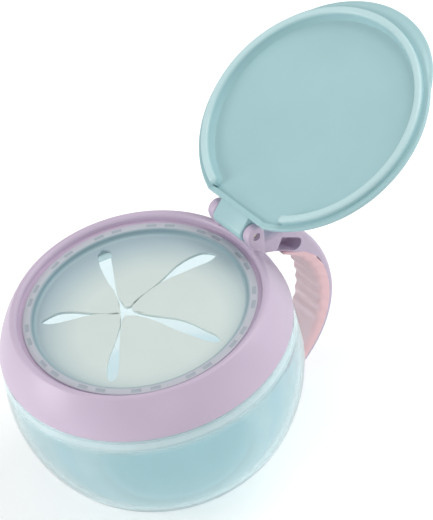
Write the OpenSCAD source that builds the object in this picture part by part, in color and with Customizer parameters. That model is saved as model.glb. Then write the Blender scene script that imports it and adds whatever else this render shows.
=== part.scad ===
// Toddler snack container: a round bowl, a screw-on collar with a handle, a soft slit membrane
// moulded through the collar's shelf, and a flip lid on a steel pin.
// Frame: origin at the centre of the flat base, +Z up, +Y towards the hinge and the handle,
// X along the hinge pin. The lid is drawn open on its stop.

/* [Collar] */
// Outer radius of the collar's lower edge, which every other radius follows
collar_r = 50; // [45:0.5:56]
// Height of the collar's lower edge above the table
collar_z = 59; // [56:0.5:64]
// Height of the collar from its lower edge to the crest of the rim
collar_h = 13.6; // [12.6:0.1:15]
// Radius of the outline between the lower edge and the rim
flank_r = 40; // [30:1:60]
// Distance of the lid's seat inside the collar's outer radius
rim_inset = 8.6; // [8.2:0.1:9]
// Rounding of the rim
rim_round = 1.45; // [1.3:0.05:1.5]
// Rounding of the collar's lower edge
collar_foot = 0.6; // [0.3:0.1:0.8]
// Depth from the rim's crest to the shelf that carries the membrane
shelf_depth = 2.2; // [2:0.1:2.4]
// Thickness of the shelf
shelf_t = 1.8; // [1.5:0.1:2]
// Width of the shelf
shelf_w = 4.2; // [4:0.1:4.6]
// Thickness of the collar's outer skirt
skirt_wall = 2; // [1.8:0.1:2.2]
// Width of the hollow between the skirt and the thread wall
groove_w = 2.5; // [2:0.1:2.6]
// Height of that hollow
groove_h = 5.5; // [4:0.25:6]
// Thickness of the thread wall
thread_wall = 1.6; // [1.4:0.1:1.8]
// Radial clearance between the neck and the thread wall
neck_gap = 0.5; // [0.4:0.05:0.6]

/* [Bowl] */
// Amount by which the belly stands out past the collar
belly_out = 0.85; // [0.5:0.05:2]
// Height of the largest radius above the table
belly_z = 44; // [42:0.5:46]
// Radius of the outline above the belly
upper_arc_r = 90; // [80:1:110]
// Radius of the outline's side arc below the belly
side_arc_r = 52; // [48:1:56]
// Angle that the side arc covers
side_sweep = 28; // [24:1:31]
// Radius of the tighter arc that follows the side arc
low_arc_r = 34; // [31:0.5:36]
// Slope angle below level at which the tighter arc ends
low_sweep = 47; // [44:1:50]
// Rounding of the edge round the flat base
base_round = 6; // [3:0.5:8]
// Thickness of the bowl's side wall
bowl_wall = 2.2; // [1.6:0.1:2.8]
// Thickness of the bowl's floor
bowl_floor = 3; // [2:0.25:4]
// Thickness of the neck's wall
neck_wall = 2.2; // [1.8:0.1:2.6]
// Thickness of the shoulder that joins the belly to the neck
shoulder_t = 4.2; // [3:0.2:5]
// Gap between the bowl's shoulder and the collar
shoulder_gap = 0.3; // [0.3:0.05:0.5]
// Thickness of the seal ring on top of the neck
seal_t = 1.6; // [1.2:0.1:2]
// Width of the seal ring
seal_w = 2.8; // [2.4:0.1:3.2]

/* [Membrane] */
// Pairs of windows in the shelf that the membrane flows through
window_pairs = 13; // [9:1:15]
// Angle between the two windows of a pair
window_pitch = 9.6; // [8:0.2:10.4]
// Width of a window round the shelf
window_w = 3.8; // [3.2:0.1:4.2]
// Length of a window across the shelf
window_l = 1.6; // [1.2:0.1:1.7]
// Depth of the dimple that the soft ring has over each window
window_dimple = 0.35; // [0.2:0.05:0.4]
// Width of the soft ring on the shelf
soft_ring_w = 2.6; // [2.3:0.05:2.8]
// Thickness of the soft ring above the shelf
soft_ring_t = 0.6; // [0.5:0.05:0.7]
// Thickness of the soft ring below the shelf
hook_t = 0.8; // [0.6:0.05:1]
// Thickness of the soft bead that covers the shelf's inner edge
bead_w = 0.8; // [0.6:0.05:1]
// Thickness of the slit disc
disc_t = 1.2; // [1:0.1:1.3]
// Drop from the soft ring's top to the slit disc
disc_drop = 1.8; // [1.6:0.1:2]
// Number of slits and of flaps between them
slits = 5; // [5:1:5]
// Distance that the slits end inside the shelf
slit_margin = 4.2; // [3.8:0.1:6]
// Half the width of a slit at its wide end
slit_wide = 2.2; // [1.8:0.1:2.4]
// Half the width of a slit at the hub
slit_thin = 0.35; // [0.3:0.05:0.45]
// Radius of the hole where the slits meet
hub_r = 2.6; // [2.2:0.1:3]
// Distance of the hub to the left of the cup's axis
hub_left = 3.5; // [0:0.1:4]
// Distance of the hub in front of the cup's axis
hub_front = 3.9; // [0:0.1:4.4]
// Gap between a flap's round root and the disc
root_gap = 0.3; // [0.25:0.05:0.4]

/* [Hinge] */
// Distance of the pin behind the wall of the lid's seat
pin_back = 1.8; // [1.6:0.1:2.2]
// Height of the pin above the rim's crest
pin_up = 6.2; // [6:0.1:6.6]
// Radius of the pin
pin_r = 1.1; // [1:0.05:1.2]
// Clearance round the pin in the lid's knuckle
pin_play = 0.05; // [0.03:0.01:0.08]
// Half the distance between the outer faces of the ears
ear_out = 11.2; // [10.8:0.1:11.6]
// Thickness of an ear
ear_t = 3.6; // [3.2:0.1:3.9]
// Radius of an ear's round top
ear_r = 3.5; // [3.2:0.1:3.8]
// Depth to which an ear runs down into the collar
ear_root = 8; // [7:0.25:9]
// Depth at which the pin's ends lie in the ears
pin_sunk = 0.8; // [0.6:0.1:1.2]
// Radius of the lid's knuckle
knuckle_r = 4; // [3.6:0.1:4.2]
// Gap between the knuckle and each ear
knuckle_side_gap = 0.2; // [0.2:0.05:0.3]

/* [Lid] */
// Angle of the open lid from its closed place
lid_open = 156.7; // [150:0.1:160]
// Amount by which the lid's edge overlaps the wall of its seat
lid_over = 1.5; // [1.2:0.1:1.8]
// Height of the closed lid's edge above the rim's crest
lid_lift = 1; // [0.9:0.05:1.2]
// Thickness of the lid's shell
lid_wall = 1.9; // [1.7:0.1:2.1]
// Width of the flat flange inside the lid's edge
flange_w = 4; // [3.5:0.25:4.5]
// Height of the lid's edge band
lid_edge_h = 1.5; // [1.3:0.1:1.8]
// Rise of the outer dome from the top of its edge band to its crown
dome_rise = 5; // [4:0.25:6]
// Distance of the round step inside the dome from the lid's edge
step_in = 11.9; // [10:0.25:14]
// Depth of that step
step_d = 0.3; // [0.2:0.05:0.4]
// Width of the slope that softens that step
step_slope = 1.5; // [1:0.1:2]
// Distance from the pin to the lid's straight edge
chord_s = 2.9; // [2.8:0.05:3]
// Width of the plate that thickens the lid at its knuckle
plate_w = 40; // [34:1:44]
// Reach of that plate from the pin
plate_l = 4.6; // [4.2:0.1:5.4]
// Gap between the rib and the wall of its seat at the sides
rib_side_gap = 4.2; // [3.9:0.1:4.4]
// Gap between the rib and the wall of its seat at the front
rib_front_gap = 0.8; // [0.7:0.1:1.1]
// Thickness of the rib
rib_t = 2; // [1.8:0.1:2.2]
// Height that the rib stands out of the lid's edge
rib_h = 2.3; // [2.1:0.05:2.4]
// Half the angle of the rib's opening at the hinge
rib_open = 25; // [22:1:28]
// Reach of the thumb lip past the lid's edge
lip_reach = 3.3; // [2.8:0.1:4]
// Radius of the thumb lip's outline
lip_r = 37.6; // [34:0.2:42]
// Width of the thumb lip's slope
lip_w = 9; // [8:0.5:10]
// Rise of the thumb lip's underside towards its edge
lip_rise = 1.6; // [1.2:0.1:2]

/* [Handle] */
// Half the width of the handle's hard spine
spine_half_w = 7; // [6.4:0.1:7.4]
// Amount by which the soft grip stands proud of the spine
grip_proud = 0.35; // [0.2:0.05:0.5]
// Rounding of the handle's long edges
handle_round = 2; // [1.5:0.1:2.2]
// Depth of the joint face of the arm inside the collar's lower edge
joint_inset = 0.5; // [0.3:0.1:0.7]
// Drop from the rim's crest to the top of the arm
arm_drop = 1.9; // [1.7:0.1:2.5]
// Distance of the finger space's centre inside the collar's lower edge
bow_inset = 15; // [14:0.25:16]
// Drop from the collar's lower edge to the finger space's centre
bow_drop = 22.6; // [22:0.1:23.4]
// Radius of the handle's inner curve
inner_bow_r = 30.5; // [29:0.1:32]
// Thickness of the handle at its widest point
handle_t = 6.9; // [6.4:0.1:7.4]
// Amount by which the lower outer curve's radius is the larger one
outer_more = 4; // [3.5:0.1:4.5]
// Radius of the outer curve above its middle
upper_bow_r = 48; // [44:0.5:52]
// Radius of the bend into the arm
elbow_r = 14; // [13:0.25:15]
// Angle below level at which the handle ends
tail_angle = 62; // [58:1:64]
// Width of the hard strip that shows beside the grip
strip_w = 2.4; // [2:0.1:2.8]
// Distance of the grip's upper corner behind the finger space's centre
grip_top_y = 19.6; // [19:0.1:20.2]
// Height of that corner above the finger space's centre
grip_top_z = 23.2; // [22.8:0.1:23.6]
// Length of the grip's upper edge
grip_top_l = 9.5; // [9:0.1:10]
// Slope of the grip's upper edge
grip_top_slope = 32; // [30:1:34]
// Depth of the grip's shell at the finger side
grip_t = 1.7; // [1.4:0.1:2]
// Depth of the grip's shell at its flat sides
grip_side_t = 2.6; // [2.2:0.1:3]
// Number of finger ridges
ridges = 8; // [6:1:9]
// Angle above level at which the finger ridges start
ridge_from = 36; // [34:1:38]
// Angle between finger ridges
ridge_pitch = 8.8; // [8:0.2:9]
// Depth of a finger hollow
ridge_depth = 0.5; // [0.3:0.05:0.6]
// Length of the moulding pockets in the arm
pocket_l = 10.2; // [9:0.2:10.6]
// Height of the moulding pockets
pocket_h = 5; // [4:0.25:5.5]
// Distance of a pocket's corner behind the finger space's centre
pocket_y = 17.3; // [17:0.1:17.8]
// Height of that corner above the finger space's centre
pocket_z = 26.5; // [26.3:0.1:26.9]
// Slope of the pockets
pocket_slope = 36.5; // [34:0.5:40]
// Web left between the two pockets
pocket_web = 2; // [1.6:0.1:3]

/* [Hidden] */
$fn = 96;
e = 0.01;
belly_r = collar_r + belly_out;
rim_in_r = collar_r - rim_inset;
shelf_in_r = rim_in_r - shelf_w;
soft_ring_r = shelf_in_r + soft_ring_w;
thread_r = collar_r - skirt_wall - groove_w - thread_wall;
neck_r = thread_r - neck_gap;
rim_z = collar_z + collar_h;
shelf_z = rim_z - shelf_depth;
shelf_low = shelf_z - shelf_t;
neck_top = shelf_low - seal_t;
shoulder_z = collar_z - shoulder_gap;
soft_top = shelf_z + soft_ring_t;
soft_low = shelf_low - hook_t;
disc_top = soft_top - disc_drop;
disc_low = disc_top - disc_t;
pin_y = rim_in_r + pin_back;
pin_z = rim_z + pin_up;
ear_in = ear_out - ear_t;
knuckle_half_w = ear_in - knuckle_side_gap;
joint_y = collar_r - joint_inset;
arm_top = rim_z - arm_drop;
lid_r = rim_in_r + lid_over;
edge_z = rim_z + lid_lift;

function arc(c, r, from, to, n = 12) =
    [for (i = [0:n]) c + r * [cos(from + (to - from) * i / n), sin(from + (to - from) * i / n)]];
function polar(r, a) = [r * cos(a), r * sin(a)];

// Draws a side outline, given in Y and Z, as a plate across X
module across(from, to) {
    translate([from, 0, 0]) rotate([90, 0, 90]) linear_extrude(to - from) children();
}

// Turns the children so that their Z axis lies along X, at the hinge pin's height
module along_pin(from) {
    translate([from, pin_y, pin_z]) rotate([0, 90, 0]) children();
}

// Bowl outline: the side arc, the tighter arc below it, a straight slope and a rounded base edge
side_c = [belly_r - side_arc_r, belly_z];
low_c = side_c + polar(side_arc_r - low_arc_r, -side_sweep);
upper_c = [belly_r - upper_arc_r, belly_z];
slope = 90 - low_sweep;

module bowl_section(inset, floor_z, edge_round, top_z) {
    slope_top = low_c + polar(low_arc_r - inset, -low_sweep);
    corner_r = slope_top.x - (slope_top.y - floor_z) / tan(slope);
    edge_c = [corner_r - edge_round * tan(slope / 2), floor_z + edge_round];
    top_a = asin((top_z - belly_z) / (upper_arc_r - inset));
    polygon(concat(
        [[0, floor_z]],
        arc(edge_c, edge_round, -90, -low_sweep, 8),
        arc(low_c, low_arc_r - inset, -low_sweep, -side_sweep, 8),
        arc(side_c, side_arc_r - inset, -side_sweep, 0, 14),
        arc(upper_c, upper_arc_r - inset, 1, top_a, 6),
        [[0, top_z]]
    ));
}

module bowl() {
    inner_top = shoulder_z - shoulder_t;
    shoulder_r = upper_c.x + sqrt(pow(upper_arc_r - bowl_wall, 2) - pow(inner_top - belly_z, 2));
    neck_in = neck_r - neck_wall;
    neck_low = inner_top + 0.6 * shoulder_t;
    color("powderblue") rotate_extrude() difference() {
        union() {
            bowl_section(0, 0, base_round, shoulder_z);
            translate([0, shoulder_z - 1]) square([neck_r, neck_top - shoulder_z + 1]);
        }
        bowl_section(bowl_wall, bowl_floor, base_round + 1, inner_top);
        polygon([[0, inner_top - e], [shoulder_r, inner_top - e], [neck_in, neck_low],
            [neck_in, neck_top + 1], [0, neck_top + 1]]);
    }
}

module seal_ring() {
    color("white") rotate_extrude()
        translate([neck_r - seal_w, neck_top]) square([seal_w, seal_t]);
}

// Collar section: the flank is one arc that runs tangent into the rounded rim
module collar_section() {
    rim_c = [rim_in_r + rim_round, rim_z - rim_round];
    foot = [collar_r, collar_z + collar_foot];
    span = norm(foot - rim_c);
    reach = flank_r - rim_round;
    bearing = atan2(foot.y - rim_c.y, foot.x - rim_c.x);
    turn = acos((reach * reach + span * span - flank_r * flank_r) / (2 * reach * span));
    flank_c = rim_c + polar(reach, bearing - turn);
    flank_top = atan2(rim_c.y - flank_c.y, rim_c.x - flank_c.x);
    flank_low = atan2(foot.y - flank_c.y, foot.x - flank_c.x);
    groove_in = thread_r + thread_wall;
    groove_out = collar_r - skirt_wall;
    groove_top = collar_z + groove_h;
    groove_end = flank_c.x + sqrt(pow(flank_r - skirt_wall, 2) - pow(groove_top - flank_c.y, 2));
    difference() {
        polygon(concat(
            [[thread_r, collar_z], [collar_r - collar_foot, collar_z]],
            arc(flank_c, flank_r, flank_low, flank_top, 12),
            arc(rim_c, rim_round, flank_top, 180, 10),
            [[rim_in_r, shelf_z], [shelf_in_r, shelf_z], [shelf_in_r, shelf_low], [thread_r, shelf_low]]
        ));
        polygon([[groove_in, collar_z - 1], [groove_out, collar_z - 1], [groove_out, collar_z],
            [groove_end, groove_top], [groove_in, groove_top]]);
        translate([thread_r - 1, collar_z - 1]) square([thread_wall + 2, 2]);
    }
}

// Places something at each window of the shelf
module at_windows() {
    window_r = soft_ring_r - (soft_ring_w - window_l) * 0.3 - window_l / 2;
    for (i = [0:window_pairs - 1], side = [-0.5, 0.5])
        rotate(90 + (i + 0.5) * 360 / window_pairs + side * window_pitch) translate([window_r, 0, 0])
            children();
}

module window_prism(low, high) {
    translate([-window_l / 2, -window_w / 2, low]) cube([window_l, window_w, high - low]);
}

// Ear outline: a round top on a foot that spreads into the collar behind the lid's seat
ear_front = sqrt(rim_in_r * rim_in_r - ear_in * ear_in) + 0.1;
ear_back = pin_y + ear_r * cos(8);
module ear_outline() {
    translate([pin_y, pin_z]) circle(ear_r);
    polygon([[ear_front, pin_z - 1], [ear_front, rim_z - 2], [ear_back, rim_z - 2],
        [ear_back, pin_z + ear_r * sin(8)]]);
    ear_foot();
}

module ear_foot() {
    foot_z = rim_z - ear_root;
    polygon([[ear_front, rim_z - rim_round], [ear_front + 2, foot_z], [joint_y - 1, foot_z],
        [ear_back + 0.6, rim_z - 2 * rim_round], [ear_back, rim_z - rim_round]]);
}

// Ears, joined below the rim's crest to the arm that starts between them
module ears() {
    for (side = [0, 1]) mirror([side, 0, 0]) difference() {
        union() {
            across(ear_in, ear_out) ear_outline();
            across(spine_half_w - 1, ear_in + 1) ear_foot();
        }
        along_pin(ear_in - 1) cylinder(r = pin_r, h = ear_t + 2);
        along_pin(ear_out - pin_sunk) cylinder(r = 1.4 * pin_r, h = ear_t);
    }
}

// Room behind the seat's wall and the thread wall, up to the arm's joint face
module root_room() {
    low = shelf_low - 6;
    difference() {
        translate([-ear_out - 1, pin_y - 6, low]) cube([2 * ear_out + 2, joint_y - pin_y + 6, 30]);
        translate([0, 0, low - 1]) cylinder(r = rim_in_r + 1, h = 8);
        translate([0, 0, low - 1]) cylinder(r = thread_r + 1, h = 7);
    }
}

module collar() {
    color("thistle") difference() {
        union() {
            rotate_extrude() collar_section();
            intersection() {
                union() {
                    ears();
                    arm_root();
                }
                root_room();
            }
        }
        at_windows() window_prism(shelf_low - 1, shelf_z + 1);
        translate([0, 0, shelf_z]) cylinder(r = rim_in_r, h = rim_z - shelf_z - rim_round);
    }
}

// Handle curves: an inner bow, and an outer line of two bows and an elbow that meet without a kink
bow_c = [collar_r - bow_inset, collar_z - bow_drop];
widest_y = bow_c.x + inner_bow_r + handle_t;
outer_bow_r = inner_bow_r + outer_more;
outer_c = [widest_y - outer_bow_r, bow_c.y];
upper_c2 = [widest_y - upper_bow_r, bow_c.y];
elbow_rise = arm_top - elbow_r - bow_c.y;
elbow_c = upper_c2 + [sqrt(pow(upper_bow_r - elbow_r, 2) - elbow_rise * elbow_rise), elbow_rise];
elbow_low = elbow_c + polar(elbow_r, atan2(elbow_rise, elbow_c.x - upper_c2.x));

// Cuts the inner bow and rounds its long edges
module bow_cutter(r, half_w) {
    out = half_w + 2;
    translate([0, bow_c.x, bow_c.y]) rotate([0, 90, 0]) rotate_extrude() {
        translate([0, -out]) square([r, 2 * out]);
        for (s = [0, 1]) mirror([0, s]) difference() {
            translate([r - e, half_w - handle_round]) square([handle_round, out - half_w + handle_round]);
            translate([r + handle_round, half_w - handle_round]) circle(handle_round, $fn = 32);
        }
    }
}

// Straight root of the arm, inside the collar and up to the joint face
module arm_root() {
    flat_w = 2 * (spine_half_w - handle_round);
    low = bow_c.y + 0.6 * inner_bow_r;
    root_y = joint_y - 8;
    difference() {
        translate([0, root_y, 0]) rotate([-90, 0, 0]) linear_extrude(joint_y - root_y) mirror([0, 1]) {
            translate([-spine_half_w, low]) square([2 * spine_half_w, arm_top - handle_round - low]);
            translate([-flat_w / 2, low]) square([flat_w, arm_top - low]);
            for (s = [-1, 1]) translate([s * flat_w / 2, arm_top - handle_round])
                circle(handle_round, $fn = 32);
        }
        bow_cutter(inner_bow_r, spine_half_w);
    }
}

// Distance from the bow's centre, in direction a, to a circle round c
function to_circle(a, c, r) =
    let (v = bow_c - c, d = polar(1, a), vd = v * d) sqrt(vd * vd - v * v + r * r) - vd;

// Point of the handle's outer line in direction a from the bow's centre
function outer_at(a) =
    let (low = bow_c + polar(to_circle(a, outer_c, outer_bow_r), a),
        high = bow_c + polar(to_circle(a, upper_c2, upper_bow_r), a),
        bend = bow_c + polar(to_circle(a, elbow_c, elbow_r), a))
    low.y < outer_c.y ? low : high.y < elbow_low.y ? high : bend;

// Rounded cross section between an inner and an outer point, as points in space
function section(inner, outer, half_w) =
    let (half_t = norm(outer - inner) / 2,
        round_r = min(handle_round, half_t * 0.8),
        mid = (inner + outer) / 2,
        up = (outer - inner) / norm(outer - inner),
        corner = [half_w - round_r, half_t - round_r],
        flat = concat(
            arc(corner, round_r, 0, 90, 4),
            arc([-corner.x, corner.y], round_r, 90, 180, 4),
            arc(-corner, round_r, 180, 270, 4),
            arc([corner.x, -corner.y], round_r, 270, 360, 4)))
    [for (p = flat) [p.x, mid.x + p.y * up.x, mid.y + p.y * up.y]];

// Share of the full section that is left at direction a, for the round tail
tail_turn = 4.2;
function tail_share(a) =
    a > -tail_angle ? 1 : sqrt(max(0.04, 1 - pow((-tail_angle - a) / tail_turn, 2)));

// Finger ridges: a wave that fades out at both ends of the grip
function ridge(a) =
    let (turn = (ridge_from - a) / ridge_pitch, fade = min(1, max(0, turn)) * min(1, max(0, ridges - turn)))
    fade * (0.5 - 0.5 * cos(360 * turn));

function station(a, half_w, r_in, wave) =
    let (share = tail_share(a),
        inner = bow_c + polar(r_in + wave * ridge(a), a),
        outer = outer_at(a),
        mid = (inner + outer) / 2)
    section(mid + share * (inner - mid), mid + share * (outer - mid),
        (half_w - 0.6 * wave * ridge(a)) * (0.6 + 0.4 * share));

// Skin over a row of closed rings that have equally many points
module skin(rings) {
    n = len(rings[0]);
    last = len(rings) - 1;
    polyhedron(
        points = [for (ring = rings, p = ring) p],
        faces = concat(
            [[for (i = [n - 1:-1:0]) i]],
            [for (k = [0:last - 1], i = [0:n - 1], half = [0, 1])
                let (j = (i + 1) % n, low = k * n, high = low + n)
                half == 0 ? [low + i, high + j, high + i] : [low + i, low + j, high + j]],
            [[for (i = [0:n - 1]) last * n + i]]
        ));
}

// Handle from the joint face round to its tail, one ring of points every step degrees
module handle_body(half_w, r_in, step, wave = 0) {
    joint_in = [joint_y, bow_c.y + sqrt(r_in * r_in - pow(joint_y - bow_c.x, 2))];
    first_a = floor(atan2(joint_in.y - bow_c.y, joint_in.x - bow_c.x)) - 4;
    count = ceil((first_a + tail_angle + tail_turn) / step);
    skin(concat(
        [section(joint_in, [joint_y, arm_top], half_w)],
        [for (i = [0:count]) station(first_a - i * step, half_w, r_in, wave)]
    ));
}

// Side outline of the zone that the soft grip covers
zone_r = outer_bow_r - strip_w;
module grip_outline() {
    top = bow_c + [grip_top_y, grip_top_z];
    far = 2 * outer_bow_r;
    difference() {
        intersection() {
            translate(outer_c) circle(zone_r);
            polygon([top, top + polar(grip_top_l, -grip_top_slope),
                top + polar(1.37 * grip_top_l, -grip_top_slope - 8), outer_c + [1.06 * zone_r, 0.25 * zone_r],
                outer_c + [far, -far], bow_c + [-inner_bow_r / 2, -far], bow_c - [inner_bow_r / 2, 6]]);
        }
        translate(bow_c) circle(inner_bow_r - 5);
    }
}

// Hard web that the grip is moulded round: all that lies deeper than the grip's shell
module grip_web() {
    web_half = spine_half_w - grip_side_t;
    across(-web_half, web_half) difference() {
        translate(bow_c) circle(2 * outer_bow_r);
        translate(bow_c) circle(inner_bow_r + grip_t);
        translate(bow_c + polar(inner_bow_r + 2, -tail_angle)) circle(6);
    }
}

module pockets() {
    for (s = [0, 1]) mirror([s, 0, 0]) across(pocket_web / 2, spine_half_w + 5)
        translate(bow_c + [pocket_y, pocket_z]) rotate(-pocket_slope) {
            square([pocket_l - pocket_h / 2, pocket_h]);
            translate([pocket_l - pocket_h / 2, pocket_h / 2]) circle(pocket_h / 2);
        }
}

module handle() {
    color("plum") difference() {
        handle_body(spine_half_w, inner_bow_r, 5);
        difference() {
            across(-spine_half_w - 5, spine_half_w + 5) grip_outline();
            grip_web();
        }
        pockets();
    }
}

module handle_grip() {
    color("pink") difference() {
        intersection() {
            handle_body(spine_half_w + grip_proud, inner_bow_r - grip_proud, ridge_pitch / 4, ridge_depth);
            across(-spine_half_w - 5, spine_half_w + 5) grip_outline();
        }
        grip_web();
    }
}

// Membrane: slits run from an off-centre hub to evenly spaced ends
slit_end_r = shelf_in_r - slit_margin;
hub_at = [-hub_left, -hub_front];
flap_d = slit_end_r * cos(180 / slits);
root_r = disc_t / 2;
function slit_end(k) = polar(slit_end_r, 90 + (k - 1) * 360 / slits);

module slit(k) {
    run = slit_end(k) - hub_at;
    reach = norm(run) - slit_wide;
    neck = 0.35 * reach;
    translate(hub_at) rotate(atan2(run.y, run.x)) {
        polygon([[0, -slit_thin], [neck, -slit_thin - 0.1], [reach, -slit_wide],
            [reach, slit_wide], [neck, slit_thin + 0.1], [0, slit_thin]]);
        translate([reach, 0]) circle(slit_wide, $fn = 48);
    }
}

module star() {
    translate(hub_at) circle(hub_r, $fn = 48);
    for (k = [0:slits - 1]) slit(k);
}

// Polygon whose sides are the lines between neighbouring slit ends, grown to an apothem
module flap_field(apothem) {
    polygon([for (k = [0:slits - 1]) polar(apothem / cos(180 / slits), 90 + k * 360 / slits)]);
}

module flap_footprint(k, apothem) {
    difference() {
        intersection() {
            flap_field(apothem);
            polygon([hub_at, hub_at + 1.4 * (slit_end(k) - hub_at), hub_at + 1.4 * (slit_end(k + 1) - hub_at)]);
        }
        star();
        for (i = [k, k + 1]) translate(slit_end(i) * (1 - slit_wide / slit_end_r))
            circle(slit_wide + 3 * root_gap);
    }
}

// One soft flap with a round root, which lies in the pocket that the disc leaves for it
module flap(k) {
    color("lightcyan") {
        translate([0, 0, disc_low]) linear_extrude(disc_t) flap_footprint(k, flap_d);
        intersection() {
            rotate(90 + (k - 0.5) * 360 / slits) translate([flap_d, -slit_end_r, disc_low + root_r])
                rotate([-90, 0, 0]) cylinder(r = root_r, h = 2 * slit_end_r, $fn = 32);
            translate([0, 0, disc_low - 1]) linear_extrude(disc_t + 2)
                flap_footprint(k, flap_d + root_r + e);
        }
    }
}

module membrane_ring() {
    inner = shelf_in_r - bead_w;
    color("paleturquoise") {
        difference() {
            rotate_extrude() polygon([[0, disc_low], [inner, disc_low], [inner, soft_low],
                [soft_ring_r, soft_low], [soft_ring_r, shelf_low], [shelf_in_r, shelf_low],
                [shelf_in_r, shelf_z], [soft_ring_r, shelf_z], [soft_ring_r, soft_top],
                [inner, soft_top], [inner, disc_top], [0, disc_top]]);
            at_windows() window_prism(soft_top - window_dimple, soft_top + 1);
            translate([0, 0, disc_low - 1]) linear_extrude(disc_t + 2) {
                flap_field(flap_d + root_r + root_gap);
                star();
            }
        }
        at_windows() window_prism(shelf_low, shelf_z);
    }
}

module hinge_pin() {
    half = ear_out - pin_sunk;
    color("silver") along_pin(-half) cylinder(r = pin_r, h = 2 * half);
}

// Lid, drawn closed and then turned open about the pin
module lid_dome() {
    crown = edge_z + lid_edge_h + dome_rise;
    dome_r = (lid_r * lid_r + dome_rise * dome_rise) / (2 * dome_rise);
    dome_c = [0, crown - dome_r];
    inner_r = dome_r - lid_wall;
    span = asin(lid_r / dome_r);
    inner_span = asin((lid_r - flange_w) / inner_r);
    step_span = asin((lid_r - step_in) / inner_r);
    slope_span = asin((lid_r - step_in + step_slope) / inner_r);
    inner_edge = dome_c + polar(inner_r, 90 - inner_span);
    rotate_extrude() polygon(concat(
        [[lid_r - 0.5, edge_z], [lid_r, edge_z + 0.5]],
        arc(dome_c, dome_r, 90 - span, 90, 14),
        arc(dome_c, inner_r + step_d, 90, 90 - step_span, 10),
        arc(dome_c, inner_r, 90 - slope_span, 90 - inner_span, 4),
        [[inner_edge.x, edge_z]]
    ));
}

module oval(half_w, half_l) {
    polygon([for (i = [0:71]) [half_w * cos(i * 5), half_l * sin(i * 5)]]);
}

// Oval rib that enters the collar's seat, open towards the hinge
module rib() {
    half_w = rim_in_r - rib_side_gap;
    half_l = rim_in_r - rib_front_gap;
    far = 2 * rim_in_r;
    translate([0, 0, edge_z - rib_h]) linear_extrude(rib_h + lid_edge_h + 1) difference() {
        oval(half_w, half_l);
        oval(half_w - rib_t, half_l - rib_t);
        polygon([[0, 0], polar(far, 90 - rib_open), [0, far], polar(far, 90 + rib_open)]);
    }
}

// Thumb lip: a crescent that slopes up and out past the lid's edge
module thumb_lip() {
    lip_y = lip_r - lid_r - lip_reach;
    inner = lip_r - lip_w;
    top = edge_z + lip_rise;
    far = 2 * lid_r;
    difference() {
        translate([0, lip_y, 0]) rotate_extrude() polygon([[inner, edge_z + 0.3],
            [inner + 4, edge_z + 0.4], [lip_r - 0.5, top], [lip_r, top + 0.5], [lip_r, top + 1.3],
            [lip_r - 0.5, top + 1.8], [inner, top + 2]]);
        translate([0, 0, edge_z - 1]) cylinder(r = lid_r - 3, h = 12);
        translate([-far, lip_y + 4, edge_z - 1]) cube([2 * far, far, 12]);
    }
}

// Plate under the chord edge that carries the knuckle
module hinge_plate() {
    intersection() {
        translate([-plate_w / 2, pin_y - plate_l, edge_z]) cube([plate_w, plate_l, 3]);
        translate([0, 0, edge_z]) cylinder(r = lid_r - 0.5, h = 3);
    }
}

module knuckle_outline() {
    root = pin_y - 1.75 * knuckle_r;
    translate([pin_y, pin_z]) circle(knuckle_r);
    polygon([[pin_y - plate_l, edge_z + 0.4], [pin_y - chord_s, edge_z + 0.2],
        [pin_y, pin_z - knuckle_r], [pin_y, pin_z + 1],
        [pin_y - knuckle_r * cos(20), pin_z + knuckle_r * sin(20)],
        [root, edge_z + 3.4], [root, edge_z + 0.5 * lid_wall + 1]]);
}

module lid_closed() {
    difference() {
        union() {
            difference() {
                union() {
                    lid_dome();
                    thumb_lip();
                    hinge_plate();
                }
                translate([-2 * lid_r, pin_y - chord_s, edge_z - 10]) cube([4 * lid_r, lid_r, 40]);
                for (s = [0, 1]) mirror([s, 0, 0]) along_pin(ear_in - knuckle_side_gap)
                    cylinder(r = ear_r + 0.5, h = ear_t + 2 * knuckle_side_gap);
            }
            rib();
            across(-knuckle_half_w, knuckle_half_w) knuckle_outline();
        }
        along_pin(-ear_out) cylinder(r = pin_r + pin_play, h = 2 * ear_out);
    }
}

module lid() {
    color("mediumturquoise") translate([0, pin_y, pin_z]) rotate([-lid_open, 0, 0])
        translate([0, -pin_y, -pin_z]) lid_closed();
}

bowl();
seal_ring();
collar();
handle();
handle_grip();
membrane_ring();
flap(0);  // flap_1
flap(1);  // flap_2
flap(2);  // flap_3
flap(3);  // flap_4
flap(4);  // flap_5
hinge_pin();
lid();
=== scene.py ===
# %% [markdown]
# # A toddler's snack container
# The real object is a round clear cup with a soft slit membrane held by a screw
# collar, a grip handle and a flip lid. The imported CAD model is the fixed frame
# here: every size and place below comes from it, and this lesson gives each
# piece its fine form and its finish.

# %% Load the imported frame
from math import acos, asin, atan2, cos, degrees, hypot, pi, radians, sin, sqrt, tan

import bpy
from mathutils import Matrix, Vector


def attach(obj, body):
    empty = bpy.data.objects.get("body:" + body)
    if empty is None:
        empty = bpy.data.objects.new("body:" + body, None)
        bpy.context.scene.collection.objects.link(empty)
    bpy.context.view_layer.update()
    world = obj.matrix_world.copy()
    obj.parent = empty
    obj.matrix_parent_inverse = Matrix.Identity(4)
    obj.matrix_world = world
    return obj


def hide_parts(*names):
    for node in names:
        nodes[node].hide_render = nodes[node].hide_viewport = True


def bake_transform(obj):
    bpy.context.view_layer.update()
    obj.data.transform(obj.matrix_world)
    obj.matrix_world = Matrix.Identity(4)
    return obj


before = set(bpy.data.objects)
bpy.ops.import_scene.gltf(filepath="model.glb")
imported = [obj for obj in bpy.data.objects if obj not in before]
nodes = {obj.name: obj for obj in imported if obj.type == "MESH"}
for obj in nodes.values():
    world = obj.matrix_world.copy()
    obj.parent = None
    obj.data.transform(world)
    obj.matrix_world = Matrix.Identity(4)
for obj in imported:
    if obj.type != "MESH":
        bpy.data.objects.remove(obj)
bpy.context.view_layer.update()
MM = 0.001
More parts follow.
